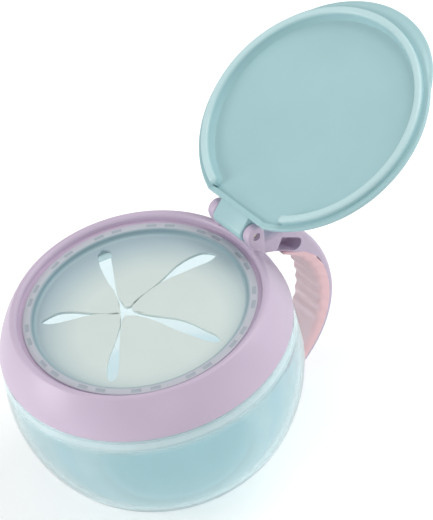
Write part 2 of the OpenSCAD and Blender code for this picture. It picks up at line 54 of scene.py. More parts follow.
print("Nodes:", sorted(nodes))

# %% [markdown]
# ## The camera
# The camera comes first, because it tells how large each detail is in the
# picture. A long lens far away keeps the cup's ellipses nearly parallel.

# %% Place the camera
CAMERA_TARGET = Vector((4.15, 30.17, 72.98)) * MM
CAMERA_BEARING = radians(-29.39)
CAMERA_HEIGHT = radians(43.56)
CAMERA_ROLL = radians(-13.19)
CAMERA_DISTANCE = 1109.72 * MM
CAMERA_LENS = 230.1


def add_camera():
    back = Vector((
        cos(CAMERA_HEIGHT) * cos(CAMERA_BEARING),
        cos(CAMERA_HEIGHT) * sin(CAMERA_BEARING),
        sin(CAMERA_HEIGHT),
    ))
    bpy.ops.object.camera_add()
    camera = bpy.context.object
    turn = (
        Matrix.Rotation(CAMERA_BEARING + pi / 2, 4, "Z")
        @ Matrix.Rotation(pi / 2 - CAMERA_HEIGHT, 4, "X")
        @ Matrix.Rotation(CAMERA_ROLL, 4, "Z")
    )
    camera.matrix_world = Matrix.Translation(CAMERA_TARGET + CAMERA_DISTANCE * back) @ turn
    camera.data.lens = CAMERA_LENS
    camera.data.sensor_width = 36
    camera.data.clip_start = 0.05
    camera.data.clip_end = 20
    bpy.context.scene.camera = camera


add_camera()
print("Camera distance in metres:", CAMERA_DISTANCE)

# %% [markdown]
# ## Small tools: selecting
# An operator acts on all that is selected, so each step first deselects
# everything and then picks one piece. Edit mode is entered and left in one
# place, because a forgotten mode makes the next operator fail.

# %% Helpers: selection and edit mode
def deselect():
    bpy.ops.object.select_all(action="DESELECT")


def pick(piece):
    deselect()
    piece.select_set(True)
    bpy.context.view_layer.objects.active = piece


def edit(piece):
    pick(piece)
    bpy.ops.object.mode_set(mode="EDIT")
    bpy.ops.mesh.select_mode(type="VERT")


def done():
    bpy.ops.object.mode_set(mode="OBJECT")


# %% [markdown]
# ## Small tools: profiles
# Nearly every moulded piece is a turned form or a flat outline with a
# thickness. Both start here as one point that is extruded along a profile, as
# by hand. The turned form is then spun, and the outline is filled and extruded.

# %% Helpers: profile, lathe and slab
def draw_profile(name, points):
    """One point, extruded from place to place: points are 3-D, in millimetres."""
    deselect()
    bpy.ops.mesh.primitive_plane_add(size=MM, location=(0, 0, 0))
    piece = bpy.context.object
    piece.name = piece.data.name = name
    edit(piece)
    bpy.ops.mesh.select_all(action="SELECT")
    bpy.ops.mesh.merge(type="CENTER")
    bpy.ops.transform.translate(value=Vector(points[0]) * MM)
    for here, there in zip(points, points[1:]):
        step = (Vector(there) - Vector(here)) * MM
        bpy.ops.mesh.extrude_region_move(TRANSFORM_OT_translate={"value": step})
    bpy.ops.mesh.select_all(action="SELECT")
    return piece


def close_up():
    """Merges points that meet, turns all faces outwards and leaves edit mode."""
    bpy.ops.mesh.select_all(action="SELECT")
    bpy.ops.mesh.remove_doubles(threshold=1e-6)
    bpy.ops.mesh.normals_make_consistent(inside=False)
    done()


def smooth(piece, angle=35):
    pick(piece)
    bpy.ops.object.shade_smooth_by_angle(angle=radians(angle))
    return piece


def lathe(name, profile, steps=160):
    """Turns (radius, height) points round the cup's axis."""
    piece = draw_profile(name, [(r, 0, z) for r, z in profile])
    bpy.ops.mesh.spin(steps=steps, angle=2 * pi, axis=(0, 0, 1), center=(0, 0, 0))
    close_up()
    return smooth(piece)


def slab(name, outline, low_x, high_x):
    """A side outline of (y, z) points, filled and extruded along X."""
    points = [(low_x, y, z) for y, z in outline]
    piece = draw_profile(name, points + points[:1])
    bpy.ops.mesh.remove_doubles(threshold=1e-7)
    bpy.ops.mesh.edge_face_add()
    bpy.ops.mesh.extrude_region_move(
        TRANSFORM_OT_translate={"value": ((high_x - low_x) * MM, 0, 0)}
    )
    close_up()
    return piece


# %% [markdown]
# ## Small tools: a skin over sections
# A form whose section changes along its way, such as the grip, can't be turned
# or extruded. A flat grid is laid over its sections instead, row by row, so the
# faces follow the form in even strips.

# %% Helpers: skin, and points on circles
def skin(name, rings):
    """A grid laid over closed rings of 3-D points, in millimetres, and capped at both ends."""
    rows, columns = len(rings) - 1, len(rings[0])
    deselect()
    bpy.ops.mesh.primitive_grid_add(
        x_subdivisions=columns, y_subdivisions=rows, size=MM, location=(0, 0, 0)
    )
    piece = bpy.context.object
    piece.name = piece.data.name = name
    for vertex in piece.data.vertices:
        i = round((vertex.co.x / MM + 0.5) * columns)
        j = round((vertex.co.y / MM + 0.5) * rows)
        vertex.co = Vector(rings[j][i % columns]) * MM
    edit(piece)
    bpy.ops.mesh.select_all(action="SELECT")
    bpy.ops.mesh.remove_doubles(threshold=1e-6)
    bpy.ops.mesh.select_all(action="DESELECT")
    bpy.ops.mesh.select_non_manifold()
    bpy.ops.mesh.fill_holes(sides=0)
    close_up()
    return piece


def arc(centre, r, start, end, count=8):
    """Points on a circle from one angle to another, in degrees."""
    step = radians(end - start) / count
    return [
        (centre[0] + r * cos(radians(start) + i * step), centre[1] + r * sin(radians(start) + i * step))
        for i in range(count + 1)
    ]


def polar(r, angle):
    """The point at a distance and an angle in degrees round the origin."""
    return Vector((r * cos(radians(angle)), r * sin(radians(angle))))


# %% [markdown]
# ## Small tools: modifiers, cuts and joins
# A modifier is added, set and applied in one step. What is cut away is modelled
# as a piece of its own first. Each finished piece prints its box, so that it can
# be compared with the CAD model's.

# %% Helpers: modify, cut, join and report
def modify(piece, kind, **settings):
    """Adds one modifier, sets it and applies it."""
    pick(piece)
    bpy.ops.object.modifier_add(type=kind)
    modifier = piece.modifiers[-1]
    for key, value in settings.items():
        setattr(modifier, key, value)
    bpy.ops.object.modifier_apply(modifier=modifier.name)


def cut(piece, cutter):
    """Takes the cutter's shape out of a piece, then removes the cutter."""
    modify(piece, "BOOLEAN", operation="DIFFERENCE", object=cutter, solver="EXACT")
    pick(cutter)
    bpy.ops.object.delete()
    return piece


def join(name, pieces):
    """Makes one piece of several, under a new name."""
    pick(pieces[0])
    for piece in pieces:
        piece.select_set(True)
    bpy.ops.object.join()
    pieces[0].name = pieces[0].data.name = name
    return pieces[0]


def report(piece):
    """Prints a piece's faces and its box in millimetres."""
    low, high = (Vector(f(v.co[i] for v in piece.data.vertices) for i in range(3)) / MM for f in (min, max))
    print(piece.name, "faces:", len(piece.data.polygons), "from", low[:], "to", high[:])


# %% [markdown]
# ## The clear bowl
# The real bowl is one clear moulding about 2 mm thick: a flat base with a
# rounded edge, a belly of three arcs, a shoulder under the collar and a threaded
# neck. A lathe profile gives both walls at once, so light bends at each.

# %% Turn the bowl
BELLY_R, BELLY_Z = 50.85, 44
UPPER_ARC_R, SIDE_ARC_R, LOW_ARC_R = 90, 52, 34
SIDE_SWEEP, LOW_SWEEP = 28, 47
BASE_SLOPE = 90 - LOW_SWEEP
BOWL_WALL, BOWL_FLOOR = 2.2, 3
NECK_R, NECK_BORE, NECK_TOP = 43.4, 41.2, 67
side_c, upper_c = (BELLY_R - SIDE_ARC_R, BELLY_Z), (BELLY_R - UPPER_ARC_R, BELLY_Z)
low_c = arc(side_c, SIDE_ARC_R - LOW_ARC_R, -SIDE_SWEEP, -SIDE_SWEEP, 1)[0]


def wall(inset, floor_z, edge_round, top_z):
    """One side of the bowl's section, from its axis up to its shoulder, moved in by inset."""
    x, z = arc(low_c, LOW_ARC_R - inset, -LOW_SWEEP, -LOW_SWEEP, 1)[0]
    corner = x - (z - floor_z) / tan(radians(BASE_SLOPE))
    edge_c = (corner - edge_round * tan(radians(BASE_SLOPE / 2)), floor_z + edge_round)
    top = degrees(asin((top_z - BELLY_Z) / (UPPER_ARC_R - inset)))
    return (
        [(0, floor_z)]
        + arc(edge_c, edge_round, -90, -LOW_SWEEP, 8)
        + arc(low_c, LOW_ARC_R - inset, -LOW_SWEEP, -SIDE_SWEEP, 8)[1:]
        + arc(side_c, SIDE_ARC_R - inset, -SIDE_SWEEP, 0, 12)[1:]
        + arc(upper_c, UPPER_ARC_R - inset, 0, top, 6)[1:]
    )


def make_bowl():
    outer = wall(0, 0, 6, 57.9)
    inner = wall(BOWL_WALL, BOWL_FLOOR, 7, 52.6)
    shoulder = arc((48.8, 57.9), 0.8, 5, 90, 5)
    neck = [(43.7, 58.7), (NECK_R, 59), (NECK_R, 66.6), (43, NECK_TOP), (41.6, NECK_TOP), (NECK_BORE, 66.6)]
    under = [(NECK_BORE, 58.2), (41.6, 56.9), (43, 56), (45.6, 55), (47.3, 54)]
    return lathe("clear_bowl", outer + shoulder + neck + under + inner[::-1])


THREAD_SWEEP, THREAD_RISE, THREAD_STEPS = 540, 4.2, 180


def make_thread():
    """One ridge that winds round the neck for a turn and a half."""
    foot, crest = NECK_R - 0.1, NECK_R + 0.4
    ridge = draw_profile("neck_thread", [
        (foot, 0, 60.2), (crest, 0, 60.6), (crest, 0, 61), (foot, 0, 61.4), (foot, 0, 60.2),
    ])
    bpy.ops.mesh.remove_doubles(threshold=1e-7)
    done()
    modify(
        ridge, "SCREW", angle=radians(THREAD_SWEEP), screw_offset=THREAD_RISE * MM,
        steps=THREAD_STEPS, render_steps=THREAD_STEPS, use_merge_vertices=False,
    )
    edit(ridge)
    bpy.ops.mesh.select_all(action="DESELECT")
    bpy.ops.mesh.select_non_manifold()
    bpy.ops.mesh.fill_holes(sides=0)
    close_up()
    return smooth(ridge)


bowl = make_bowl()
thread = make_thread()
for piece in (bowl, thread):
    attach(piece, "bowl")
    report(piece)
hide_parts("bowl")

# %% [markdown]
# ## The seal ring
# A soft ring lies on the bowl's neck and rises with the collar as it is
# unscrewed. Its edges are round, because soft rubber has no sharp ones.

# %% Turn the seal ring
SEAL_IN, SEAL_OUT, SEAL_TOP, SEAL_ROUND = 40.6, 43.4, 68.55, 0.45


def ring_section(inner, outer, low, high, round_r):
    """A rectangle with four round corners, as (radius, height) points."""
    corners = [
        ((outer - round_r, low + round_r), -90), ((outer - round_r, high - round_r), 0),
        ((inner + round_r, high - round_r), 90), ((inner + round_r, low + round_r), 180),
    ]
    points = [p for centre, start in corners for p in arc(centre, round_r, start, start + 90, 4)]
    return points + points[:1]


seal = lathe("seal_gasket", ring_section(SEAL_IN, SEAL_OUT, NECK_TOP, SEAL_TOP, SEAL_ROUND))
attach(seal, "seal")
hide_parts("seal_ring")
report(seal)

# %% [markdown]
# ## The screw collar
# The collar is one hard moulding: a flank that curves into a round rim, a seat
# for the lid, a shelf that holds the membrane, two hinge ears and the root of
# the handle. Its ring has the same section all round, so it is turned.

# %% Turn the collar's ring
FLANK_R, RIM_ROUND = 40, 1.45
SHELF_R, SHELF_TOP, SHELF_LOW = 37.2, 70.4, 68.6


def make_collar_ring():
    """The flank is an arc from the foot that runs smoothly into the rim's round top."""
    rim_c, foot = (42.85, 71.75), (50, 59.6)
    apart = hypot(foot[0] - rim_c[0], foot[1] - rim_c[1])
    reach = FLANK_R - RIM_ROUND
    bearing = degrees(atan2(foot[1] - rim_c[1], foot[0] - rim_c[0]))
    turn = degrees(acos((reach ** 2 + apart ** 2 - FLANK_R ** 2) / (2 * reach * apart)))
    flank_c = arc(rim_c, reach, bearing - turn, bearing - turn, 1)[0]
    top = degrees(atan2(rim_c[1] - flank_c[1], rim_c[0] - flank_c[0]))
    low = degrees(atan2(foot[1] - flank_c[1], foot[0] - flank_c[0]))
    outside = [(48, 59), (49.2, 59), (49.7, 59.15)] + arc(flank_c, FLANK_R, low, top, 24)
    rim = arc(rim_c, RIM_ROUND, top, 180, 14)[1:]
    shelf = [(41.4, 70.6), (41.25, SHELF_TOP), (SHELF_R, SHELF_TOP), (SHELF_R, SHELF_LOW)]
    skirt = [(43.9, SHELF_LOW), (43.9, 60), (45.5, 60), (45.5, 64.5), (46.6, 64.5), (48, 59)]
    return lathe("collar_ring", outside + rim + shelf + skirt, 240)


# %% [markdown]
# ## The hinge ears and the handle's root
# Two plates hold the hinge pin. Each has a recess, so that the pin's end lies
# below the face. Behind them a rounded bar runs back to the handle, whose hard
# spine is the CAD model's own piece.

# %% Add the ears and the root, and join the collar
PIN_Y, PIN_Z = 43.2, 78.8
EAR_R, EAR_IN, EAR_OUT = 3.5, 7.6, 11.2
RECESS_R, RECESS_FROM = 1.5, 10.35
JOINT_Y, ARM_TOP, BOW_C, BOW_R = 49.5, 70.7, (35, 36.4), 30.5


def make_ear(side):
    """A plate with a round top, whose foot runs down into the collar's flank."""
    outline = [(40.9, 69.6), (40.9, 74.2), (39.95, 76.6)] + arc((PIN_Y, PIN_Z), EAR_R, 192, -8, 24)
    outline += [(46.1, 74), (45.75, 71), (45.45, 68.8), (44.6, 67), (43, 67)]
    low_x, high_x = sorted((side * EAR_IN, side * EAR_OUT))
    ear = slab("hinge_ear", outline, low_x, high_x)
    modify(ear, "BEVEL", width=0.75 * MM, segments=4, limit_method="ANGLE", angle_limit=radians(60))
    low_x, high_x = sorted((side * RECESS_FROM, side * (EAR_OUT + 1.3)))
    recess = slab("recess", arc((PIN_Y, PIN_Z), RECESS_R, 0, 360, 48)[:-1], low_x, high_x)
    return smooth(cut(ear, recess))


def make_root():
    """The rounded bar behind the rim, between the ears and on to the handle's joint."""
    rings = []
    for y in (42.3, 44, 46, 48, JOINT_Y):
        low = BOW_C[1] + sqrt(BOW_R ** 2 - (y - BOW_C[0]) ** 2)
        corners = ((5, ARM_TOP - 2, 0), (-5, ARM_TOP - 2, 90), (-5, low + 2, 180), (5, low + 2, 270))
        ring = [p for x, z, start in corners for p in arc((x, z), 2, start, start + 90, 6)]
        rings.append([(x, y, z) for x, z in ring])
    return smooth(skin("arm_root", rings), 50)


collar = join("screw_collar", [make_collar_ring(), make_ear(1), make_ear(-1), make_root()])
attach(collar, "collar")
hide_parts("collar")
report(collar)

# %% [markdown]
# ## The membrane's ring
# The soft ring is moulded round the collar's shelf. It has a flat band with a
# dimple over each window of the shelf, and a rounded step down to the disc.

# %% Turn the membrane's ring
RIM_R, DISC_TOP, DISC_LOW, RING_TOP, RING_R = 35.2, 69.2, 68, 71, 39.8


def make_soft_ring():
    """Its section is a band on the shelf, a foot below it, and a wall between that joins the two."""
    step = [(RIM_R, DISC_TOP), (35.6, 69.23), (35.95, 69.36), (36.2, 69.6), (36.36, 70), (36.45, 70.6)]
    top = [(36.6, 70.86), (36.9, RING_TOP), (39.5, RING_TOP), (39.72, 70.9), (RING_R, 70.7)]
    hook = [(RING_R, SHELF_TOP), (SHELF_R, SHELF_TOP), (SHELF_R, SHELF_LOW), (RING_R, SHELF_LOW)]
    hook += [(RING_R, 68), (39.6, 67.8), (36.9, 67.8), (36.6, 68)]
    return lathe("membrane_rim", step + top + hook + [(RIM_R, DISC_LOW), (RIM_R, DISC_TOP)], 180)


WINDOW_PAIRS, WINDOW_PITCH, WINDOW_R = 13, 9.6, 38.45
WINDOW_SIZE, DIMPLE = (1.7, 3.8, 1), 0.14


def make_window_cutter():
    """One soft-cornered block for each window, modelled once and copied round."""
    deselect()
    bpy.ops.mesh.primitive_cube_add(size=MM)
    first = bpy.context.object
    edit(first)
    bpy.ops.mesh.select_all(action="SELECT")
    bpy.ops.transform.resize(value=WINDOW_SIZE)
    bpy.ops.mesh.bevel(offset=0.3 * MM, segments=3, affect="EDGES")
    done()
    middle = Matrix.Translation(Vector((WINDOW_R, 0, RING_TOP + WINDOW_SIZE[2] / 2 - DIMPLE)) * MM)
    blocks = []
    for i in range(WINDOW_PAIRS):
        for side in (-0.5, 0.5):
            turn = radians(90 + (i + 0.5) * 360 / WINDOW_PAIRS + side * WINDOW_PITCH)
            block = first.copy()
            block.data = first.data.copy()
            bpy.context.scene.collection.objects.link(block)
            block.data.transform(Matrix.Rotation(turn, 4, "Z") @ middle)
            blocks.append(block)
    pick(first)
    bpy.ops.object.delete()
    return join("window_cutter", blocks)


soft_ring = smooth(cut(make_soft_ring(), make_window_cutter()), 40)
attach(soft_ring, "collar")
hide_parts("membrane_ring")
report(soft_ring)

# %% [markdown]
# ## The five flaps
# Five petal-shaped slots run from an off-centre hub almost to the ring, and the
# rubber between them bends as a hand pushes in. Each slot is given by its
# direction, the place of its end, and the offsets of its two sides from its
# middle line at a few shares of its length.

# %% Slot shapes: angle, end, the end's offset, then the offsets of the two sides
HUB = Vector((-3.2, -3.5))
SHARES = (0.1, 0.2, 0.35, 0.5, 0.65, 0.8, 0.93)
SLOTS = [
    (17.2, 32.6, -0.3, (-0.7, -0.1, -0.3, -1.1, -1.5, -1.7, -1.65), (1.1, 1.3, 2.4, 3.4, 3.3, 2.4, 1.55)),
    (91.2, 33.5, 1.2, (1.25, 2.15, 3.05, 2.9, 1.8, 0.7, -0.2), (1.45, 2.35, 3.3, 4.6, 6.1, 6.3, 4.9)),
    (163.9, 34.1, 0.8, (0.3, 0.95, 0.95, 0.35, -0.3, -0.9, -1.5), (1.7, 1.35, 1.7, 2.6, 3.2, 3.4, 3)),
    (232.4, 33.7, -0.5, (0.4, 0, -0.95, -2.3, -3.5, -3.75, -2.1), (0.6, 0.15, -0.7, -0.35, 0.3, 0.95, 0.8)),
    (305.1, 32.7, 0, (-1.55, -1.25, -1.5, -2, -2.6, -2.5, -1.8), (-0.7, -1, -0.5, 0.1, 0.8, 1.4, 1.4)),
]
print("Slots round the hub:", len(SLOTS))

# %% [markdown]
# ## From slots to rows
# A flap lies between two slots. A smooth line is laid through the offsets of
# each side and divided evenly, and the points of the two lines are joined in
# rows from the ring to the tip. The inner points are then evened out.

# %% Rows of points for one flap
ROWS_SEAM, ROWS_SLOT, COLUMNS = 2, 44, 30


def through(points, count):
    """A smooth line through points, as count + 1 evenly spread ones."""
    ends = [2 * points[0] - points[1]] + points + [2 * points[-1] - points[-2]]
    fine = []
    for a, b, c, d in zip(ends, ends[1:], ends[2:], ends[3:]):
        for i in range(12):
            t = i / 12
            fine.append(0.5 * (2 * b + (c - a) * t + (2 * a - 5 * b + 4 * c - d) * t * t
                               + (3 * b - a - 3 * c + d) * t ** 3))
    fine.append(points[-1])
    run = [0]
    for a, b in zip(fine, fine[1:]):
        run.append(run[-1] + (b - a).length)
    line, at = [], 0
    for i in range(count + 1):
        want = run[-1] * i / count
        while at < len(run) - 2 and run[at + 1] < want:
            at += 1
        share = (want - run[at]) / (run[at + 1] - run[at])
        line.append(fine[at].lerp(fine[at + 1], share))
    return line


def side_line(slot, side):
    """Row places down one side of a slot: the seam outside it, then its edge."""
    angle, end_r, end_offset, cw, ccw = slot
    run = polar(end_r, angle) - HUB
    along, across = run.normalized(), Vector((-run.y, run.x)).normalized()
    offsets = cw if side == "cw" else ccw
    other = ccw if side == "cw" else cw
    edge = [HUB + run * t + across * n for t, n in zip(SHARES, offsets)][::-1]
    end = HUB + run + across * end_offset
    beyond = HUB + run * SHARES[-1] + across * other[-1]
    fine = through([beyond, end] + edge, 400)
    first = min(range(len(fine)), key=lambda i: (fine[i] - end).length)
    slot_part = through(fine[first::8] + [edge[-1]], ROWS_SLOT)
    out = polar(RIM_R, degrees(atan2(end.y, end.x)))
    return [out.lerp(end, i / ROWS_SEAM) for i in range(ROWS_SEAM)] + slot_part


def crossing(a, along_a, b, along_b):
    """Where two lines meet, which is the corner that a flap's tip rounds off."""
    span = b - a
    share = (span.x * along_b.y - span.y * along_b.x) / (along_a.x * along_b.y - along_a.y * along_b.x)
    return a + along_a * share


def flap_rows(k):
    """Rows of points from the ring to the tip, each from one slot to the next."""
    here, there = side_line(SLOTS[k], "ccw"), side_line(SLOTS[(k + 1) % 5], "cw")
    start, stop = (degrees(atan2(p.y, p.x)) % 360 for p in (here[0], there[0]))
    stop += 360 if stop < start else 0
    knee = crossing(here[-1], here[-1] - here[-4], there[-1], there[-1] - there[-4])
    rows = []
    for j in range(len(here)):
        v = j / (len(here) - 1)
        row = []
        for i in range(COLUMNS + 1):
            u = i / COLUMNS
            ring = polar(RIM_R, start + (stop - start) * u)
            tip = here[-1] * (1 - u) ** 2 + knee * 2 * u * (1 - u) + there[-1] * u * u
            flat_ring, flat_tip = here[0].lerp(there[0], u), here[-1].lerp(there[-1], u)
            row.append(here[j].lerp(there[j], u) + (1 - v) * (ring - flat_ring) + v * (tip - flat_tip))
        rows.append(row)
    return relax(rows)


def relax(rows, passes=60):
    """Evens the inner points out between their neighbours, so that no row folds over the next."""
    for _ in range(passes):
        for j in range(1, len(rows) - 1):
            for i in range(1, len(rows[j]) - 1):
                rows[j][i] = (rows[j - 1][i] + rows[j + 1][i] + rows[j][i - 1] + rows[j][i + 1]) / 4
    return rows


# %% [markdown]
# ## The flaps as solid rubber
# Each flap starts as a grid that is laid on its rows. It then gets its thickness
# and soft slot edges.

# %% Make the five flaps
SOFT_EDGE, BEND_MARGIN, BEND_LENGTH = 0.22, 0.2, 6


def make_flap(k):
    rows = flap_rows(k)
    deselect()
    bpy.ops.mesh.primitive_grid_add(
        x_subdivisions=COLUMNS, y_subdivisions=len(rows) - 1, size=MM, location=(0, 0, 0)
    )
    piece = bpy.context.object
    piece.name = piece.data.name = "membrane_flap_%d" % (k + 1)
    for vertex in piece.data.vertices:
        i = round((vertex.co.x / MM + 0.5) * COLUMNS)
        j = round((vertex.co.y / MM + 0.5) * (len(rows) - 1))
        place = rows[len(rows) - 1 - j][COLUMNS - i]
        vertex.co = Vector((place.x, place.y, DISC_TOP)) * MM
    edit(piece)
    bpy.ops.mesh.select_all(action="SELECT")
    bpy.ops.mesh.normals_make_consistent(inside=False)
    done()
    if sum(f.normal.z for f in piece.data.polygons) < 0:
        edit(piece)
        bpy.ops.mesh.select_all(action="SELECT")
        bpy.ops.mesh.flip_normals()
        done()
    modify(piece, "SOLIDIFY", thickness=(DISC_TOP - DISC_LOW) * MM, offset=-1, material_offset_rim=1)
    soften_slots(piece, rows)
    return smooth(piece, 40)


def soften_slots(piece, rows):
    """Rounds the top and bottom edges along the slots and the tip, but not the seams."""
    outline = [row[end] for row in rows[ROWS_SEAM:] for end in (0, -1)] + rows[-1]
    places = {(round(p.x, 3), round(p.y, 3)) for p in outline}
    edit(piece)
    bpy.ops.mesh.select_mode(type="EDGE")
    bpy.ops.mesh.select_all(action="DESELECT")
    done()
    for edge in piece.data.edges:
        ends = [piece.data.vertices[v].co / MM for v in edge.vertices]
        level = abs(ends[0].z - ends[1].z) < 0.01
        edge.select = level and all((round(p.x, 3), round(p.y, 3)) in places for p in ends)
    bpy.ops.object.mode_set(mode="EDIT")
    bpy.ops.mesh.bevel(offset=SOFT_EDGE * MM, segments=2, affect="EDGES", material=1)
    done()


flaps = []
for k in range(5):
    flap = make_flap(k)
    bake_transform(flap)
    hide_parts("flap_%d" % (k + 1))
    report(flap)
    flaps.append(flap)

# %% [markdown]
# ## The soft grip
# The grip is rubber moulded over the handle's hard spine. Its inside has eight
# finger ridges that run round on to the sides and fade towards the hard strip.
# Rows of points follow the bow, so each ridge is a real wave in the surface.

# %% Sweep the grip along the bow
GRIP_IN, GRIP_HALF = BOW_R - 0.35, 7.35
ZONE_C, ZONE_R = (37.9, 36.4), 32.1
GRIP_TOP = [(54.2, 60), (55.6, 59.25), (62.7, 54.6), (66.4, 50.4), (69, 44.4)]
TAIL, TAIL_TURN = -62, 4.2
RIDGES, RIDGE_FROM, RIDGE_PITCH, RIDGE_DEPTH, RIDGE_REACH = 8, 36, 8.8, 0.75, 2.2


def ridge(angle):
    """Height of the finger ridges at an angle round the bow, from 0 to 1."""
    turn = (RIDGE_FROM - angle) / RIDGE_PITCH
    fade = min(1, max(0, turn)) * min(1, max(0, RIDGES - turn))
    return fade * (0.5 - 0.5 * cos(2 * pi * turn)) ** 0.8


def zone_reach(angle):
    """Distance from the bow's centre to the edge of the soft zone."""
    out = polar(1, angle)
    off = Vector(BOW_C) - Vector(ZONE_C)
    along = off.dot(out)
    reach = -along + sqrt(along ** 2 - off.length_squared + ZONE_R ** 2)
    for here, there in zip(GRIP_TOP, GRIP_TOP[1:]):
        a, b = Vector(here) - Vector(BOW_C), Vector(there) - Vector(BOW_C)
        side = b - a
        cross = out.x * side.y - out.y * side.x
        if abs(cross) > 1e-6:
            far = (a.x * side.y - a.y * side.x) / cross
            share = (a.x * out.y - a.y * out.x) / cross
            if far > 0 and -0.001 <= share <= 1.001:
                reach = min(reach, far)
    return reach


def grip_ring(angle):
    """The grip's section at an angle round the bow: round inside corners, and ridges that fade."""
    inner, outer = GRIP_IN, zone_reach(angle)
    keep = 1 if angle > TAIL else sqrt(max(0.05, 1 - ((TAIL - angle) / TAIL_TURN) ** 2))
    middle = (inner + outer) / 2
    inner, outer = middle + (inner - middle) * keep, middle + (outer - middle) * keep
    thick = max(0.3, outer - inner)
    round_r = min(2.2, thick * 0.7)
    half = GRIP_HALF * (0.6 + 0.4 * keep)
    flat = [(-half + 0.35, thick), (-half, thick - 0.2)]
    flat += [(-half, thick - 0.2 - (thick - 0.2 - round_r) * t) for t in (0.25, 0.5, 0.75)]
    flat += [(-half + round_r + x, round_r + y) for x, y in arc((0, 0), round_r, 180, 270, 8)]
    flat += [(half * t, 0) for t in (-0.4, -0.15, 0.15, 0.4)]
    flat += [(half - round_r + x, round_r + y) for x, y in arc((0, 0), round_r, 270, 360, 8)]
    flat += [(half, thick - 0.2 - (thick - 0.2 - round_r) * t) for t in (0.75, 0.5, 0.25)]
    flat += [(half, thick - 0.2), (half - 0.35, thick)]
    points = []
    for x, depth in flat:
        fade = max(0, 1 - depth / 6.5) ** 1.2
        wave = RIDGE_DEPTH * ridge(angle + depth * 0.9) * fade
        side = 0.55 * wave * abs(x / half) ** 4 * (1 if depth < thick - 0.5 else 0)
        lift = wave * max(0, 1 - depth / RIDGE_REACH)
        at = polar(inner + depth + lift, angle)
        points.append((x * (1 - side / half), BOW_C[0] + at.x, BOW_C[1] + at.y))
    return points


def make_grip():
    first, last, step = 50.2, TAIL - 4, 0.7
    count = int((first - last) / step)
    return smooth(skin("soft_grip", [grip_ring(first - i * step) for i in range(count + 1)]), 70)


grip = make_grip()
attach(grip, "collar")
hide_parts("handle_grip")
report(grip)

# %% [markdown]
# ## The hinge pin
# A plain steel pin with chamfered ends, sunk a little into the ears.

# %% Turn the pin
PIN_R, PIN_HALF = 1.1, 10.4
pin = slab("steel_pin", arc((PIN_Y, PIN_Z), PIN_R, 0, 360, 40)[:-1], -PIN_HALF, PIN_HALF)
modify(pin, "BEVEL", width=0.25 * MM, segments=2, limit_method="ANGLE", angle_limit=radians(60))
smooth(pin)
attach(pin, "collar")
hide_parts("hinge_pin")
report(pin)

# %% [markdown]
# ## The flip lid
# The lid is a shallow dome with a flange, a rib that enters the collar's seat, a
# thumb lip and a knuckle for the pin. It is modelled closed, where its parts are
# plain turned forms, and then turned open about the pin. The dome is cut off
# straight at the hinge, and its dish runs on there to a narrow ledge.

# %% The dome
EDGE_Z, LID_R, LID_OPEN = 73.6, 42.9, 156.7
DOME_RISE = 5
CROWN = EDGE_Z + 1.5 + DOME_RISE
DOME_R = (LID_R ** 2 + DOME_RISE ** 2) / (2 * DOME_RISE)
INNER_R = DOME_R - 1.9
CHORD_Y = PIN_Y - 2.9
RECESS_TOP, DISH_R, DISH_FROM, DISH_TO = 1.3, 40.9, 33.5, 38.45
dome_c = (0, CROWN - DOME_R)


def dome_arc(r, from_x, to_x, count):
    """Points on a sphere about the dome's centre, between two distances from the axis."""
    start, end = (90 - degrees(asin(x / r)) for x in (from_x, to_x))
    return arc(dome_c, r, start, end, count)


def cut_off(piece, limit, direction):
    """Removes what lies beyond a plane across Y, and closes the face."""
    edit(piece)
    bpy.ops.mesh.select_all(action="SELECT")
    bpy.ops.mesh.bisect(
        plane_co=(0, limit * MM, 0), plane_no=(0, direction, 0), use_fill=True, clear_outer=True
    )
    close_up()


def make_recess():
    """The shape that is taken out of the dome at the straight edge, between the rib's two ends."""
    low, high = EDGE_Z - 3, EDGE_Z + RECESS_TOP
    recess = lathe("recess_cutter", [(0, low), (DISH_R, low), (DISH_R, high), (0, high)], 128)
    cut_off(recess, DISH_FROM, -1)
    cut_off(recess, DISH_TO, 1)
    return recess


def make_dome():
    inner = dome_arc(INNER_R + 0.25, 0, 30, 10) + dome_arc(DOME_R - 1.65, 31.8, 34, 2)
    inner += dome_arc(DOME_R - 1.3, 36, 37.6, 2)
    flange = [(38.1, EDGE_Z + 1.2), (38.4, EDGE_Z + 0.6), (38.6, EDGE_Z + 0.15), (38.9, EDGE_Z)]
    edge = arc((LID_R - 0.6, EDGE_Z + 0.6), 0.6, -90, 0, 5) + arc((LID_R - 0.6, EDGE_Z + 1.1), 0.6, 0, 75, 5)
    outer = dome_arc(DOME_R, LID_R - 1, 0, 14)
    dome = cut(lathe("lid_dome", inner + flange + edge + outer, 200), make_recess())
    cut_off(dome, CHORD_Y, 1)
    return smooth(dome)


# %% [markdown]
# ## The lid's rib and thumb lip
# Both are sections swept round the axis. The rib's two ends are rounded off, so
# its section shrinks there. The lip's section changes all the way, because the
# flange grows wider towards the front and slopes up there.

# %% The rib and the lip
RIB_R, RIB_START, RIB_END, RIB_STEPS, RIB_ROUND = 39.65, 108 - 360, 62.5, 150, 1.1
LIP_R, LIP_Y, LIP_RISE, LIP_HALF, LIP_STEPS = 37.6, -8.6, 1.6, 47, 90


